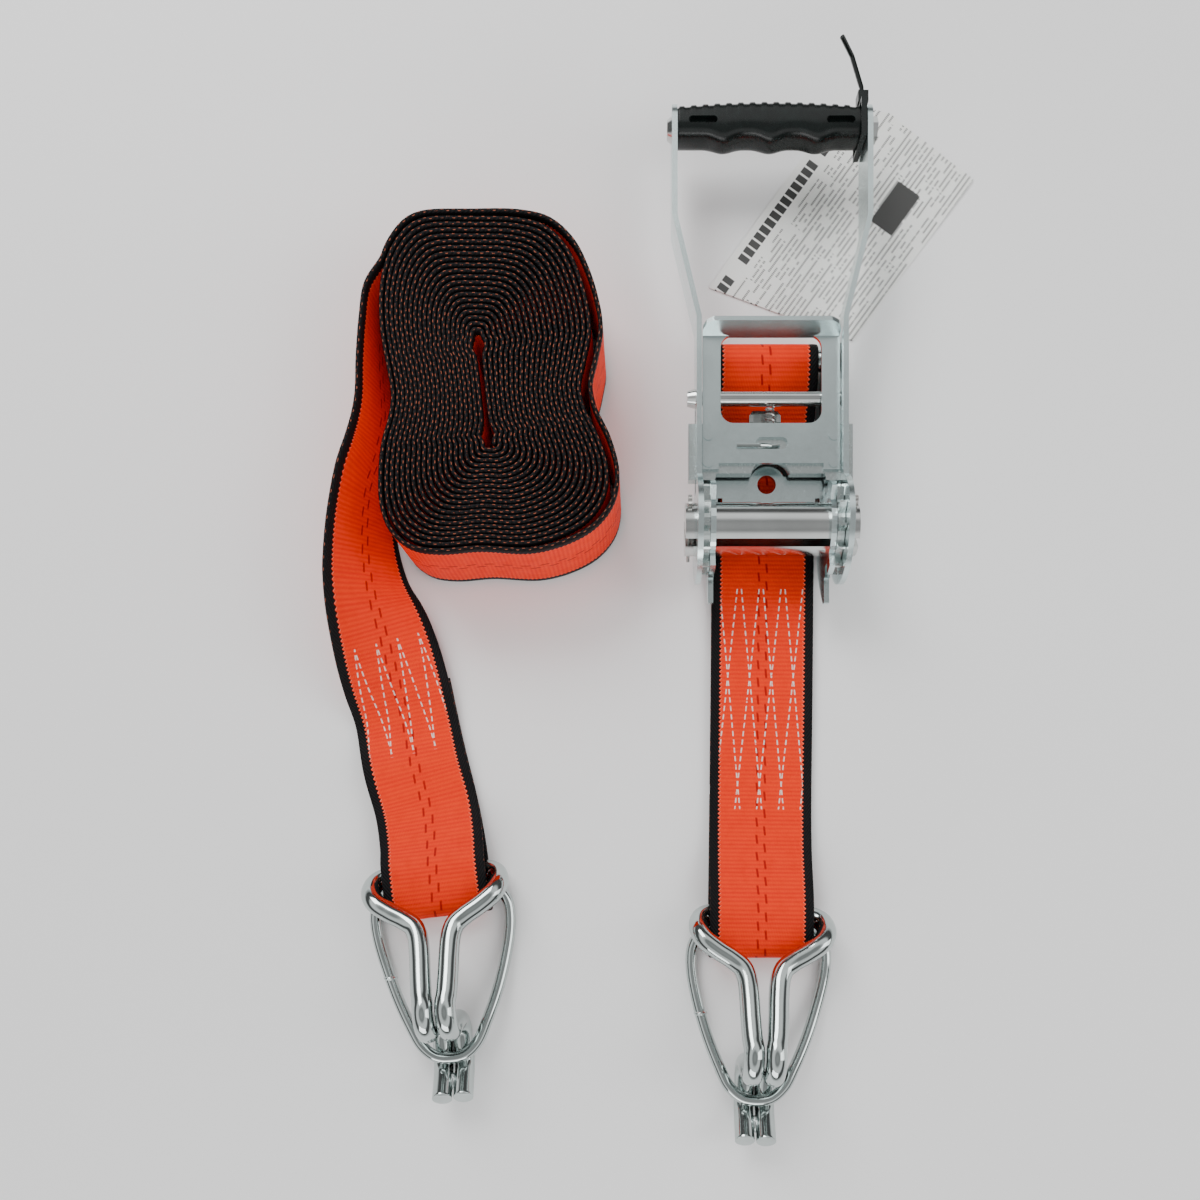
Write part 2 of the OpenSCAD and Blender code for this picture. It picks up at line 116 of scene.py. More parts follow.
def zinc(name, colour, rough, streak=(1, 1, 1), wear=0.25, fine=0.006):
    s = Nodes(name)
    at = s.object_mm(streak)
    big = s.noise(s.object_mm(), 0.06, 3)
    grain = s.noise(at, 1.1, 4, 0.65)
    spots = s.noise(s.object_mm(), 0.45, 5, 0.7)
    dark = tuple(c * 0.62 for c in colour[:3]) + (1,)
    col = s.mix(s.math("MULTIPLY", s.ramp(big, 0.35, 0.7), wear), colour, dark)
    col = s.mix(s.math("MULTIPLY", s.ramp(spots, 0.66, 0.85), 0.22), col, dark)
    r = s.math("ADD", rough, s.math("MULTIPLY", s.math("SUBTRACT", grain, 0.5), 0.16))
    r = s.math("ADD", r, s.math("MULTIPLY", s.ramp(spots, 0.6, 0.85), 0.08))
    nrm = s.bump(grain, fine * MM, 0.6)
    return s.finish(col, r, 1.0, nrm)


PLATE = zinc("zinc_plate", (0.66, 0.76, 0.76, 1), 0.22)
EDGE = zinc("zinc_wheel", (0.56, 0.62, 0.61, 1), 0.25)
ROD = zinc("zinc_rod", (0.60, 0.62, 0.61, 1), 0.16, streak=(0.08, 2, 2))
WIRE = zinc("zinc_wire", (0.50, 0.55, 0.54, 1), 0.09, streak=(1.5, 0.1, 1.5), wear=0.35)
COIL = zinc("spring_wire", (0.55, 0.54, 0.52, 1), 0.28)


def webbing(stitched):
    """Woven strap; stitched is where its sewing starts, ends and crosses, in metres along it."""
    s = Nodes("webbing_%d" % (stitched[0] * 1000))
    la = s.put("ShaderNodeUVMap", uv_map="strap")
    xy = s.put("ShaderNodeSeparateXYZ", {0: la.outputs[0]})
    L = s.math("MULTIPLY", xy.outputs[0], 1000.0)
    W = s.math("MULTIPLY", xy.outputs[1], 1000.0)
    ed = s.put("ShaderNodeUVMap", uv_map="edge")
    T = s.math("MULTIPLY", s.put("ShaderNodeSeparateXYZ", {0: ed.outputs[0]}).outputs[0], 1000.0)
    aw = s.math("ABSOLUTE", W)

    def wave(x, period, shift=0.0):
        a = s.math("MULTIPLY_ADD", x, 2 * math.pi / period, shift)
        return s.math("MULTIPLY_ADD", s.math("SINE", a), 0.5, 0.5)

    def near(x, half, soft):
        return s.put("ShaderNodeMapRange", {"Value": s.math("ABSOLUTE", x), "From Min": half + soft,
                                            "From Max": half - soft}).outputs[0]

    def phase(x, period, shift=0.0):
        return s.math("FRACT", s.math("MULTIPLY_ADD", x, 1 / period, shift))

    n1 = s.noise(la.outputs[0], 160.0, 3)
    n2 = s.noise(la.outputs[0], 900.0, 2)
    rib = wave(L, 2.05)
    cell = wave(s.math("ADD", W, s.math("MULTIPLY", L, 0.12)), 0.78)
    slow = wave(L, 12.3, 0.6)
    # colours: painted shade darkens the rib grooves and a painted highlight lightens the weave crests, both
    # following the bump height
    c = s.mix(s.math("MULTIPLY_ADD", rib, 0.6, 0.2), (0.80, 0.013, 0.0, 1), (1.0, 0.034, 0.0, 1))
    # painted highlight: lighter orange where rib and twill cell both rise
    c = s.mix(s.math("MULTIPLY", s.math("MULTIPLY", cell, rib), 0.35), c, (1.0, 0.075, 0.003, 1))
    c = s.mix(s.math("MULTIPLY", slow, 0.2), c, (1.0, 0.05, 0.0, 1))
    c = s.mix(s.math("MULTIPLY", s.ramp(n1, 0.45, 0.75), 0.3), c, (0.72, 0.014, 0.0, 1))
    # two rows of dark red dashes in the middle
    for side, sh in ((-1.9, 0.0), (1.9, 0.5)):
        slant = s.math("MULTIPLY", s.math("SUBTRACT", phase(L, 8.6, sh), 0.5), 0.9)
        row = near(s.math("SUBTRACT", W, s.math("ADD", side, slant)), 0.5, 0.16)
        on = near(s.math("SUBTRACT", phase(L, 8.6, sh), 0.5), 0.26, 0.05)
        c = s.mix(s.math("MULTIPLY", row, on), c, (0.40, 0.004, 0.002, 1))
    # black selvedges with a scalloped inner line, a painted highlight on the rib crests just inside it, and
    # light specks on their outer faces
    line = s.math("MULTIPLY_ADD", wave(L, 2.05), 0.9, 20.1)
    selv = s.ramp(s.math("SUBTRACT", aw, line), -0.12, 0.12)
    # painted highlight: a pale band along the ridge inside the selvedge line, lit only on the rib crests
    lip_highlight = near(s.math("SUBTRACT", aw, s.math("SUBTRACT", line, 0.35)), 0.18, 0.12)
    c = s.mix(s.math("MULTIPLY", s.math("MULTIPLY", lip_highlight, wave(L, 2.05, 1.2)), 0.5), c, (1.0, 0.55, 0.35, 1))
    twill = wave(s.math("ADD", L, s.math("MULTIPLY", aw, 1.4)), 2.05)
    blk = s.mix(s.math("MULTIPLY", twill, 0.55), (0.0025, 0.0025, 0.003, 1), (0.014, 0.013, 0.014, 1))
    sway = s.math("MULTIPLY", s.math("SUBTRACT", wave(L, 5.2), 0.5), 0.8)
    speck = s.math("MULTIPLY", near(s.math("SUBTRACT", phase(L, 2.6), 0.5), 0.24, 0.06),
                   near(s.math("SUBTRACT", T, sway), 0.13, 0.09))
    speck = s.math("MULTIPLY", speck, s.ramp(aw, 24.3, 24.6))
    speck = s.math("MULTIPLY", speck, s.ramp(n2, 0.32, 0.5))
    blk = s.mix(s.math("MULTIPLY", speck, 0.8), blk, (0.55, 0.15, 0.08, 1))
    c = s.mix(selv, c, blk)
    weave = s.math("ADD", s.math("MULTIPLY", rib, 0.6), s.math("MULTIPLY", cell, 0.5))
    h = s.math("MULTIPLY", weave, s.math("SUBTRACT", 1.0, selv))
    h = s.math("ADD", h, s.math("MULTIPLY", s.math("MULTIPLY", twill, 1.3), selv))
    # zigzag sewing: crossing lines with a node row at the middle length given
    lo, hi, node_at = (1000 * q for q in stitched)
    u = s.math("ABSOLUTE", s.math("SUBTRACT", phase(W, 10.7, 0.5 + 6.1 / 10.7), 0.5))
    v = s.math("PINGPONG", s.math("MULTIPLY", s.math("SUBTRACT", L, node_at), 1 / 106.0), 0.5)
    thread = near(s.math("SUBTRACT", u, v), 0.030, 0.012)
    dash = near(s.math("SUBTRACT", phase(L, 4.1), 0.5), 0.3, 0.05)
    zone = near(s.math("SUBTRACT", L, (lo + hi) / 2), (hi - lo) / 2, 0.3)
    zone = s.math("MULTIPLY", zone, near(W, 20.4, 0.3))
    shown = s.math("MULTIPLY", zone, s.ramp(n2, 0.25, 0.45))
    sew = s.math("MULTIPLY", s.math("MULTIPLY", thread, dash), shown)
    c = s.mix(sew, c, (0.95, 0.78, 0.66, 1))
    h = s.math("ADD", h, s.math("MULTIPLY", sew, 1.6))
    nrm = s.bump(h, 0.16 * MM, 0.8)
    nrm = s.bump(n2, 0.05 * MM, 0.5, nrm)
    r = s.math("MULTIPLY_ADD", n1, 0.2, 0.5)
    return s.finish(c, r, 0.0, nrm, Specular_IOR_Level=0.12)


def black_plastic(name, grain):
    s = Nodes(name)
    at = s.object_mm()
    n = s.noise(at, 1.6, 4, 0.6)
    d = s.noise(at, 0.25, 4, 0.6)
    col = s.mix(s.ramp(d, 0.4, 0.75), (0.0015, 0.0035, 0.003, 1), (0.004, 0.0085, 0.0075, 1))
    r = s.math("MULTIPLY_ADD", n, 0.2, 0.16)
    return s.finish(col, r, 0.0, s.bump(n, grain * MM, 0.4), Specular_IOR_Level=0.38)


GRIP = black_plastic("grip_plastic", 0.03)
TIE = black_plastic("tie_plastic", 0.02)


def card():
    """Printed card: rows of short generic bars stand for its print."""
    s = Nodes("tag_print")
    tc = s.put("ShaderNodeTexCoord")
    mp = s.put("ShaderNodeMapping", {"Vector": tc.outputs["Object"]})
    mp.inputs["Rotation"].default_value = (0, 0, math.radians(-54))
    mp.inputs["Scale"].default_value = (1000, 1000, 1000)
    xyz = s.put("ShaderNodeSeparateXYZ", {0: mp.outputs[0]})
    x, y = xyz.outputs[0], xyz.outputs[1]
    row = s.math("FLOOR", s.math("MULTIPLY", y, 1 / 2.3))
    inrow = s.math("FRACT", s.math("MULTIPLY", y, 1 / 2.3))

    def between(v, lo, hi):
        return s.math("MULTIPLY", s.math("GREATER_THAN", v, lo), s.math("LESS_THAN", v, hi))

    def hashed(a, b):
        seed = s.put("ShaderNodeCombineXYZ", {0: s.math("FLOOR", a), 1: b})
        return s.put("ShaderNodeTexWhiteNoise", {"Vector": seed.outputs[0]}, noise_dimensions="3D").outputs[0]

    letter = s.math("FRACT", s.math("MULTIPLY", x, 1 / 0.85))
    bar = s.math("MULTIPLY", between(inrow, 0.3, 0.76), s.math("GREATER_THAN", letter, 0.42))
    for pitch, gaps in ((0.85, 0.12), (4.3, 0.24)):
        cell = hashed(s.math("MULTIPLY", x, 1 / pitch), row)
        bar = s.math("MULTIPLY", bar, s.math("GREATER_THAN", cell, gaps))
    bar = s.math("MULTIPLY", bar, s.math("LESS_THAN", y, 66.0))
    capital = s.math("FRACT", s.math("MULTIPLY", x, 1 / 4.4))
    big = s.math("MULTIPLY", between(y, 69.5, 75.0), s.math("GREATER_THAN", capital, 0.24))
    big = s.math("MULTIPLY", big, s.math("GREATER_THAN", hashed(s.math("MULTIPLY", x, 1 / 4.4), 3.0), 0.15))
    block = s.math("MULTIPLY", between(y, 20.0, 33.0), between(x, 222.0, 246.0))
    bar = s.math("MULTIPLY", bar, s.math("SUBTRACT", 1.0, block))
    bar = s.math("MAXIMUM", bar, s.math("MAXIMUM", big, block))
    n = s.noise(s.object_mm(), 0.9, 3)
    paper = s.mix(n, (0.90, 0.91, 0.88, 1), (0.97, 0.97, 0.94, 1))
    c = s.mix(s.math("MULTIPLY", bar, 0.95), paper, (0.012, 0.012, 0.012, 1))
    return s.finish(c, 0.45, 0.0, s.bump(n, 0.01 * MM, 0.4), Specular_IOR_Level=0.4)


CARD = card()

# ---------------------------------------------------------------- meshes


def add_mesh(name, verts, faces, mat, smooth=True):
    me = bpy.data.meshes.new(name)
    me.from_pydata([tuple(v) for v in verts], [], faces)
    me.update()
    o = bpy.data.objects.new(name, me)
    bpy.context.scene.collection.objects.link(o)
    me.materials.append(mat)
    if smooth:
        me.polygons.foreach_set("use_smooth", [True] * len(me.polygons))
    return o


def unit(v):
    n = np.linalg.norm(v, axis=-1, keepdims=True)
    return v / np.where(n < 1e-12, 1, n)


def spline(points, step, closed=False):
    """Evenly spaced points on a smooth curve through the given ones."""
    p = np.array(points, float)
    n = len(p)
    out = []
    for i in range(n if closed else n - 1):
        a = p[(i - 1) % n] if closed or i > 0 else 2 * p[0] - p[1]
        b, c = p[i], p[(i + 1) % n]
        d = p[(i + 2) % n] if closed or i + 2 < n else 2 * p[-1] - p[-2]
        t1 = max(np.linalg.norm(b - a), 1e-9) ** 0.5
        t2 = max(np.linalg.norm(c - b), 1e-9) ** 0.5
        t3 = max(np.linalg.norm(d - c), 1e-9) ** 0.5
        m1 = t2 * ((b - a) / t1 - (c - a) / (t1 + t2) + (c - b) / t2)
        m2 = t2 * ((c - b) / t2 - (d - b) / (t2 + t3) + (d - c) / t3)
        for t in np.linspace(0, 1, 24, endpoint=False):
            out.append((2 * t**3 - 3 * t**2 + 1) * b + (t**3 - 2 * t**2 + t) * m1
                       + (-2 * t**3 + 3 * t**2) * c + (t**3 - t**2) * m2)
    out.append(p[0] if closed else p[-1])
    out = np.array(out)
    run = np.concatenate([[0], np.cumsum(np.linalg.norm(np.diff(out[:, :3], axis=0), axis=1))])
    k = max(int(round(run[-1] / step)), 2)
    at = np.linspace(0, run[-1], k + 1)
    res = np.stack([np.interp(at, run, out[:, j]) for j in range(out.shape[1])], axis=1)
    return res[:-1] if closed else res


def tube(name, points, r, mat, step=0.0012, closed=False, sides=28):
    p = spline(points, step, closed)
    n = len(p)
    d = unit(np.roll(p, -1, 0) - np.roll(p, 1, 0)) if closed else unit(np.gradient(p, axis=0))
    u = np.array([0, 0, 1.0]) if abs(d[0][2]) < 0.9 else np.array([1.0, 0, 0])
    verts, faces = [], []
    for i in range(n):
        u = unit(u - (u @ d[i]) * d[i])
        w = np.cross(d[i], u)
        for k in range(sides):
            a = 2 * math.pi * k / sides
            verts.append(p[i] + r * (math.cos(a) * u + math.sin(a) * w))
    for i in range(n if closed else n - 1):
        j = (i + 1) % n
        for k in range(sides):
            l = (k + 1) % sides
            faces.append((i * sides + k, i * sides + l, j * sides + l, j * sides + k))
    if not closed:
        for first, order in ((0, -1), (n - 1, 1)):
            faces.append([first * sides + k for k in range(sides)][::order])
    o = add_mesh(name, verts, faces, mat)
    if not closed:
        bev = o.modifiers.new("rim", "BEVEL")
        bev.width, bev.segments, bev.limit_method, bev.angle_limit = 0.0003, 2, "ANGLE", math.radians(50)
    return o


def joined(name, parts):
    bpy.ops.object.select_all(action="DESELECT")
    for o in parts:
        o.select_set(True)
    bpy.context.view_layer.objects.active = parts[0]
    bpy.ops.object.join()
    parts[0].name = name
    return parts[0]


HALF_T = 1.02
SECTION = [(-25, -0.45), (-25, 0.45), (-24.5, 0.88), (-23, 1.02), (-20, 0.98), (-12, 1), (0, 1), (12, 1),
           (20, 0.98), (23, 1.02), (24.5, 0.88), (25, 0.45), (25, -0.45), (24.5, -0.88), (23, -1.02),
           (20, -0.98), (12, -1), (0, -1), (-12, -1), (-20, -0.98), (-23, -1.02), (-24.5, -0.88)]


def strap(name, centres, across, mat, half=HALF_T):
    """Ribbon of webbing along centres, in mm; across is the width direction at each."""
    c = np.array(centres, float)
    d = unit(np.gradient(c, axis=0))
    w = unit(np.array(across, float))
    w = unit(w - (w * d).sum(1, keepdims=True) * d)
    nrm = np.cross(d, w)
    run = np.concatenate([[0], np.cumsum(np.linalg.norm(np.diff(c, axis=0), axis=1))])
    k = len(SECTION)
    verts, strap_uv, edge_uv = [], [], []
    for i in range(len(c)):
        for a, t in SECTION:
            verts.append((c[i] + a * w[i] + t * half * nrm[i]) * MM)
            strap_uv.append((run[i] * MM, a * MM))
            edge_uv.append((t * MM, 0))
    faces = []
    for i in range(len(c) - 1):
        for j in range(k):
            l = (j + 1) % k
            faces.append((i * k + j, i * k + l, (i + 1) * k + l, (i + 1) * k + j))
    faces.append(list(range(k))[::-1])
    faces.append([(len(c) - 1) * k + j for j in range(k)])
    o = add_mesh(name, verts, faces, mat)
    for layer, data in (("strap", strap_uv), ("edge", edge_uv)):
        uv = o.data.uv_layers.new(name=layer)
        for lp in o.data.loops:
            uv.data[lp.index].uv = data[lp.vertex_index]
    return o, run[-1] * MM


# ---------------------------------------------------------------- straps

ratchet = np.array([51.0, 38.2, 0])
LAYOUT = np.array([7.2, 0, 0])

# the rolled strap: a spiral between its outline and the line through its two eyes
outline = [(-114, 173), (-92, 173.6), (-70, 173), (-57.5, 169.5), (-47.5, 160), (-41.5, 147.5),
           (-37.5, 133.5), (-36, 121.5), (-38.5, 107.5), (-41, 96), (-38.5, 84.5), (-32, 72), (-27.5, 56.5),
           (-29, 44), (-36, 33.5), (-47.5, 26), (-65, 20.8), (-89.5, 21.2), (-108.5, 19.6), (-121, 21.5),
           (-130, 28.5), (-134.5, 39), (-135.5, 54), (-134, 69.5), (-130.5, 82), (-129.5, 91),
           (-131.8, 105), (-134.6, 120.5), (-135, 139.5), (-132, 155), (-126.5, 165), (-121, 170.4)]
outline = [(x, y, 25) for x, y in outline]
ring = spline(outline, 1.0, True)
top_eye, low_eye = np.array([-89.5, 116.0]), np.array([-84.5, 71.5])
eye_axis = unit(low_eye - top_eye)
eye_side = np.array([eye_axis[1], -eye_axis[0]])


def core_point(q):
    """The point of the innermost turn that faces an outline point."""
    rel = q[:2] - top_eye
    long = float(np.clip(rel @ eye_axis, -1.5, np.linalg.norm(low_eye - top_eye) + 1.5))
    mid = top_eye + long * eye_axis
    out = unit(q[:2] - mid)
    end = min(abs(long + 1.5), abs(long - np.linalg.norm(low_eye - top_eye) - 1.5))
    return mid + out * (0.5 + 2.0 * math.exp(-((end - 4) / 3.0) ** 2))


cores = np.array([core_point(q) for q in ring])
TURNS = 20.5
per = len(ring)
start = int(np.argmin(np.linalg.norm(ring[:, :2] - np.array([-134, 150]), axis=1)))
turn_pts = []
steps = int(TURNS * 150)
for i in range(steps + 1):
    t = TURNS * i / steps
    k = (start + t * per) % per
    a, b, f = int(k) % per, (int(k) + 1) % per, k - int(k)
    o = ring[a, :2] * (1 - f) + ring[b, :2] * f
    c = cores[a] * (1 - f) + cores[b] * f
    g = 1 - (t + 0.35) / (TURNS + 0.7)
    q = c + g * (o - c)
    if t < 1:
        lift = math.exp(-(((t - 0.36) / 0.17) ** 2))
        q = q + unit(o - c) * (0.4 + 2.6 * lift)
    turn_pts.append((q[0], q[1], 25.0))
turn_pts = np.array(turn_pts)

tail_plan = [(-139.5, 141, -137.6, 142), (-142, 126, -137.8, 127), (-143.5, 108, -136, 110),
             (-144.5, 90, -133.5, 93), (-149, 72, -134.5, 77), (-153.5, 56, -137.8, 61),
             (-157.5, 38, -137.4, 44), (-160.3, 20, -134, 27), (-161.5, 4, -127, 9), (-161.3, -14, -118, -10),
             (-160, -32, -111.3, -30), (-157, -48, -107, -48), (-151.8, -73.4, -102.2, -69),
             (-145.9, -95.7, -96.7, -87.9)]
tail_c, tail_w = [], []
for lx, ly, rx, ry in tail_plan:
    rise = math.sqrt(max(0, 50.0**2 - (lx - rx) ** 2 - (ly - ry) ** 2))
    low = 3.7 if ly < 20 else (2.0 if ly < 60 else 0.1)
    tail_c.append(((lx + rx) / 2, (ly + ry) / 2, low + rise / 2))
    tail_w.append((lx - rx, ly - ry, rise))


def loop_route(profile, at, yaw):
    """Side view points [y, z] of a strap end, placed at a hook."""
    a = math.radians(yaw)
    out = []
    for y, z in profile:
        out.append((at[0] - y * math.sin(a), at[1] + y * math.cos(a), z))
    return out


def arc(cy, cz, r, a0, a1, n):
    angles = [math.radians(a) for a in np.linspace(a0, a1, n)]
    return [(cy + r * math.cos(a), cz + r * math.sin(a)) for a in angles]


long_loop = [(15, 10.4), (7, 13.9), (0, 14.8)] + arc(-13.6, 8.2, 6.5, 90, 270, 9) + \
    [(10, 1.3), (30, 1.2), (60, 1.15), (92, 1.15)]
LOOP_YAW = math.radians(7)
loop_pts = loop_route(long_loop, (-116.4, -123.6), 7)
loop_w = [(-math.cos(LOOP_YAW), -math.sin(LOOP_YAW), 0)] * len(loop_pts)
# the last ones lie under the tail and follow its line
for i in (-1, -2, -3):
    ly = loop_pts[i][1]
    xs = [(c[1], c[0]) for c in tail_c]
    xs.sort()
    loop_pts[i] = (float(np.interp(ly, [q[0] for q in xs], [q[1] for q in xs])), ly, 1.15)
    loop_w[i] = (-math.cos(math.radians(13)), -math.sin(math.radians(13)), 0)

all_pts = [tuple(p) + (0, 0, 1) for p in turn_pts[::-1]]
rest = [tuple(c) + tuple(unit(np.array(w))) for c, w in zip(tail_c, tail_w)]
rest += [tuple(c) + tuple(w) for c, w in zip(loop_pts, loop_w)]
# the spiral's outer end is on its left side, where the free length leaves
path = spline(all_pts[-3:-1] + rest, 2.0)
path = np.concatenate([np.array(all_pts[:-3]), path])
gap = np.concatenate([[True], np.linalg.norm(np.diff(path[:, :3], axis=0), axis=1) > 0.05])
path = path[gap]
run = np.concatenate([[0], np.cumsum(np.linalg.norm(np.diff(path[:, :3], axis=0), axis=1))]) * MM
free = [i for i in range(len(path) - 1)
        if path[i, 0] < -120 and path[i, 2] < 16 and path[i + 1, 1] < path[i, 1]]
sewn = [float(run[min(free, key=lambda i: abs(path[i, 1] - y))]) for y in (16.5, -65, -12)]
long_web, long_len = strap("long_webbing", path[:, :3] + LAYOUT, path[:, 3:], webbing(sewn))
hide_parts("strap_hank", "strap_tail")
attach(long_web, "long_strap")

# the short strap: from its sewn end round the bolt, along to the hook bar and back
short_profile = [(-118, 1.15), (-40, 1.15), (40, 1.15), (66, 1.3), (77, 3.1)]
short_profile += arc(86.5, 10.65, 6.5, -80, 90, 9)
short_profile += [(77, 16), (66, 9.6), (57, 4.9), (46, 3.5), (0, 3.4), (-70, 3.4), (-132, 3.6), (-152, 6.4),
                  (-168, 12), (-177, 14.4), (-186, 14.8)]
short_profile += arc(-195.2, 8.2, 6.5, 90, 270, 9) + [(-176, 1.3), (-150, 1.15), (-123, 1.15)]
sp = []
for y, z in short_profile:
    drift = -0.6 - 2.0 * max(0.0, min(1.0, -y / 200.0)) ** 1.3
    sp.append((drift + ratchet[0], y + ratchet[1], z))
sp = spline(sp, 1.6)
short_web, short_len = strap("short_webbing", sp, [(1, 0, 0)] * len(sp), webbing([0.336, 0.445, 0.380]))
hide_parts("fixed_strap")
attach(short_web, "base")

# ---------------------------------------------------------------- hooks and keepers

eye = [(15, 0, 8), (24, 0, 8), (26.5, 0.4, 8.4), (28.9, 1.7, 9.9), (30.45, 4.2, 13.2), (30.35, 7.4, 17.4),
       (27.8, 11.4, 20.8), (21.6, 16, 22.2), (14.6, 20.2, 23.2), (10, 23.8, 24.6), (8.2, 27.4,
       26.3), (7.4, 31, 28),
       (6.8, 38, 31.2), (6.4, 46, 35.1), (5.7, 55, 39.7)]
BEND_R = 9.5
side_view = arc(63.2, 33.5, BEND_R, 120, -15, 10)
side_view += [(71.2, 24), (70.7, 18.6)]
side_view += arc(80, 14.4, BEND_R, 180, 270, 7)
side_view += [(89, 4.9), (92.4, 5.3), (95.4, 6.8), (98, 9), (107.4, 17.6)]
keeper_half = [(0, 8.9, 7.6), (14, 8.9, 7.6), (20, 8.9, 7.2), (24, 9, 6.3), (27, 9.6, 5.3), (30.4, 12, 4.1),
               (32.6, 17, 3.3), (33, 23, 3.1), (32.2, 31, 3.1), (28.6, 46, 4.6), (24, 60, 7.4),
               (18.4, 73, 10.4),
               (13.4, 82.4, 12.2), (7, 87.8, 13), (0, 89, 13.1)]


def placed(points, at, yaw):
    a = math.radians(yaw)
    return [((at[0] + u * math.cos(a) + s * math.sin(a)) * MM,
             (at[1] + u * math.sin(a) - s * math.cos(a)) * MM, z * MM) for u, s, z in points]


def blob(name, centre, size, mat, seed):
    bpy.ops.mesh.primitive_ico_sphere_add(subdivisions=4, radius=1)
    o = bpy.context.object
    rng = np.random.default_rng(seed)
    for v in o.data.vertices:
        stretched = Vector((v.co.x * size[0], v.co.y * size[1], v.co.z * size[2]))
        v.co = stretched * (1 + 0.02 * float(rng.standard_normal()))
        v.co += Vector(centre)
    o.name = name
    o.data.materials.append(mat)
    o.data.polygons.foreach_set("use_smooth", [True] * len(o.data.polygons))
    return o


for tag, at, yaw in (("short", (49, -143.9), -2), ("long", (-108.8, -123.6), 5)):
    left = [(-u, s, z) for u, s, z in eye][::-1]
    tips = [(5.1, s, z) for s, z in side_view]
    route = [(-u, s, z) for u, s, z in tips][::-1] + left + eye + tips
    body = tube("hook_wire_" + tag, placed(route, at, yaw), 4.8 * MM, WIRE)
    c1 = placed([(0, 100.5, 12.2)], at, yaw)[0]
    bead = blob("hook_weld_" + tag, c1, (0.0017, 0.0042, 0.0026), EDGE, 3)
    body = joined("hook_wire_" + tag, [body, bead])
    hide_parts("hook_" + tag)
    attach(body, "hook_" + tag)
    loop = [(u, s, z) for u, s, z in keeper_half] + [(-u, s, z) for u, s, z in keeper_half[-2:0:-1]]
    k = tube("keeper_wire_" + tag, placed(loop, at, yaw), 2.8 * MM, WIRE, closed=True, sides=20)
    w = blob("keeper_weld_" + tag, placed([(-27.6, 49, 5.2)], at, yaw)[0], (0.0033, 0.0017, 0.0031), EDGE, 5)
    k = joined("keeper_wire_" + tag, [k, w])
    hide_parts("keeper_" + tag)
    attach(k, "keeper_" + tag)

# ---------------------------------------------------------------- grip


def grip():
    h = 43.70
    rows, n = [], 64
    xs = np.linspace(-h, h, 330)
    for x in xs:
        low = 6.8 + (0 if abs(x) > 33 else 2.1 * abs(math.cos(math.radians(x * 180 / 22))) ** 3.0)
        base = 6.7 + 2.5 * (1 - (x / h) ** 2)
        q = ((x + h) / (2 * h) * 16) % 1
        soft = min(1.0, max(0.0, (q - 0.1) / 0.09)) * min(1.0, max(0.0, (0.66 - q) / 0.09))
        high = base + 0.8 * soft
        ring_pts = []
        end = min(1.0, (h - abs(x)) / 0.7)
        shrink = 1 - 0.045 * (1 - end) ** 2
        for k in range(n):
            a = 2 * math.pi * k / n
            ca, sa = math.cos(a), math.sin(a)
            e = 2 / 4.6 if ca > 0 else 2 / 2.5
            ey = math.copysign(abs(ca) ** e, ca)
            ez = math.copysign(abs(sa) ** (2 / 3.4 if ca > 0 else 2 / 2.5), sa)
            y = (high if ca > 0 else low) * ey * shrink
            z = 8.1 * ez * shrink
            ring_pts.append(((ratchet[0] + x) * MM, (ratchet[1] + 187.3 + y) * MM, (26 + z) * MM))
        rows.append(ring_pts)
    verts = [v for r in rows for v in r]
    faces = []
    for i in range(len(rows) - 1):
        for k in range(n):
            l = (k + 1) % n
            faces.append((i * n + k, (i + 1) * n + k, (i + 1) * n + l, i * n + l))
    faces.append(list(range(n)))
    faces.append([(len(rows) - 1) * n + k for k in range(n)][::-1])
    o = add_mesh("grip_body", verts, faces, GRIP)
    for sx in (-1, 1):
        bm = bmesh.new()
        pts = []
        for k in range(24):
            a = 2 * math.pi * k / 24
            pts.append((math.copysign(4.9, math.cos(a)) + 1.7 * math.cos(a), 1.7 * math.sin(a)))
        lo, up = ([bm.verts.new(((ratchet[0] + 31.8 * sx + px) * MM, (ratchet[1] + 186.9 + py) * MM, z))
                   for px, py in pts] for z in (0.0318, 0.042))
        bm.faces.new(lo[::-1])
        bm.faces.new(up)
        for k in range(24):
            bm.faces.new((lo[k], lo[(k + 1) % 24], up[(k + 1) % 24], up[k]))
        me = bpy.data.meshes.new("cut")
        bm.to_mesh(me)
        cutter = bpy.data.objects.new("cut", me)
        bpy.context.scene.collection.objects.link(cutter)
        mod = o.modifiers.new("slot", "BOOLEAN")
        mod.operation, mod.object, mod.solver = "DIFFERENCE", cutter, "EXACT"
        bpy.context.view_layer.objects.active = o
        bpy.ops.object.modifier_apply(modifier=mod.name)
        bpy.data.objects.remove(cutter)
    o.data.polygons.foreach_set("use_smooth", [True] * len(o.data.polygons))
    bpy.context.view_layer.objects.active = o
    o.select_set(True)
    bpy.ops.object.shade_smooth_by_angle(angle=math.radians(32))
    return o


g = grip()
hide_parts("handle_grip")
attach(g, "handle")

# ---------------------------------------------------------------- CAD pieces keep their shape and take a finish

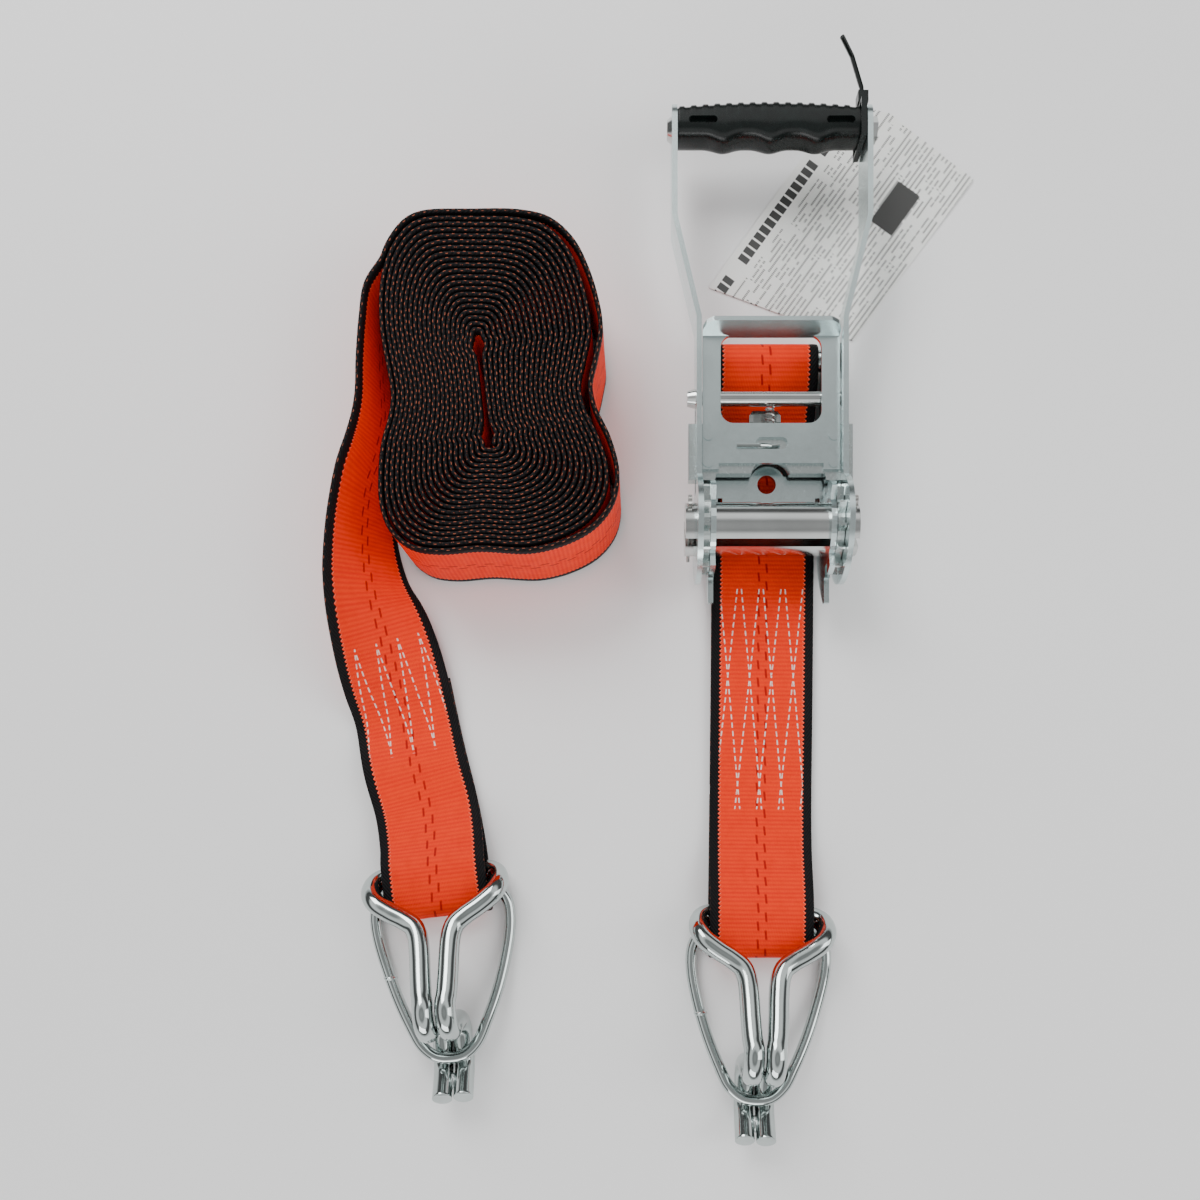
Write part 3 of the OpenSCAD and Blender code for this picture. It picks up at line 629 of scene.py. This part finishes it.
FINISH = {
    "base_frame": (PLATE, 0.35), "handle_plate_left": (PLATE, 0.35), "handle_plate_right": (PLATE, 0.35),
    "drive_pawl": (EDGE, 0.3), "release_lever": (PLATE, 0.3), "lock_pawl": (EDGE, 0.3),
    "lever_rivets": (PLATE, 1.3),
    "ratchet_wheel_left": (EDGE, 0.25), "ratchet_wheel_right": (EDGE, 0.25),
    "strap_bolt": (ROD, 0.5), "strap_bolt_nut": (ROD, 0.4), "spring_stop": (ROD, 0.4), "grip_bolt": (ROD, 0.6),
    "grip_nut": (ROD, 0.3), "handle_cross_rod": (ROD, 0.6), "mandrel_half_front": (ROD, 0.4),
    "mandrel_half_rear": (ROD, 0.4), "split_pin_left": (COIL, 0), "split_pin_right": (COIL, 0),
    "lock_pawl_spring": (COIL, 0), "drive_pawl_spring": (COIL, 0), "spring_retainer": (WIRE, 0),
    "zip_tie": (TIE, 0.25), "tag_card": (CARD, 0),
}
for name, (mat, width) in FINISH.items():
    o = nodes[name]
    o.data.materials.clear()
    o.data.materials.append(mat)
    if width:
        bev = o.modifiers.new("edges", "BEVEL")
        bev.width, bev.segments, bev.limit_method = width * MM, 3, "ANGLE"
        bev.angle_limit = math.radians(38)
        bev.harden_normals = True

# ---------------------------------------------------------------- stage, light and camera

bpy.ops.mesh.primitive_plane_add(size=6, location=(0, 0, 0))
floor = bpy.context.object
floor.name = "floor"
s = Nodes("floor")
floor.data.materials.append(s.finish((0.95, 0.95, 0.95, 1), 0.7))


def area(name, loc, look, size, power, colour=(1, 1, 1)):
    d = bpy.data.lights.new(name, "AREA")
    d.shape, d.size, d.size_y, d.energy, d.color = "RECTANGLE", size[0], size[1], power, colour
    o = bpy.data.objects.new(name, d)
    bpy.context.scene.collection.objects.link(o)
    o.location = loc
    o.rotation_euler = (Vector(look) - Vector(loc)).to_track_quat("-Z", "Y").to_euler()


area("key", (-0.5, 0.9, 0.9), (0, 0, 0), (0.7, 0.7), 11)
area("fill", (0.95, -0.1, 0.6), (0, 0, 0), (0.5, 0.9), 4)
area("low", (-0.2, -1.0, 0.45), (0, -0.1, 0), (0.9, 0.35), 4)

world = bpy.data.worlds.new("studio")
bpy.context.scene.world = world
world.use_nodes = True
wt = world.node_tree
bg = wt.nodes["Background"]
# a dim ceiling with a bright ring round it and a darker wall, so rounded metal shows bands
coord = wt.nodes.new("ShaderNodeTexCoord")
split = wt.nodes.new("ShaderNodeSeparateXYZ")
ramp = wt.nodes.new("ShaderNodeValToRGB")
wt.links.new(coord.outputs["Generated"], split.inputs[0])
wt.links.new(split.outputs[2], ramp.inputs[0])
ramp.color_ramp.interpolation = "EASE"
STOPS = [(0.0, 0.75), (0.18, 0.08), (0.42, 0.10), (0.62, 1.0), (0.80, 0.9), (0.93, 0.30), (1.0, 0.38)]
while len(ramp.color_ramp.elements) < len(STOPS):
    ramp.color_ramp.elements.new(0.5)
for e, (at, v) in zip(ramp.color_ramp.elements, STOPS):
    e.position = at
    e.color = (v, v, v, 1)
wt.links.new(ramp.outputs[0], bg.inputs[0])
bg.inputs[1].default_value = 1.2

cam = bpy.data.cameras.new("camera")
cam.sensor_width = 36
cam.lens = 30.3
cam.shift_x, cam.shift_y = -0.031, 0.211
cam.clip_start = 0.01
co = bpy.data.objects.new("camera", cam)
bpy.context.scene.collection.objects.link(co)
co.location = (-0.0113, -0.1136, 0.5)
co.rotation_euler = (0, 0, 0)
bpy.context.scene.camera = co
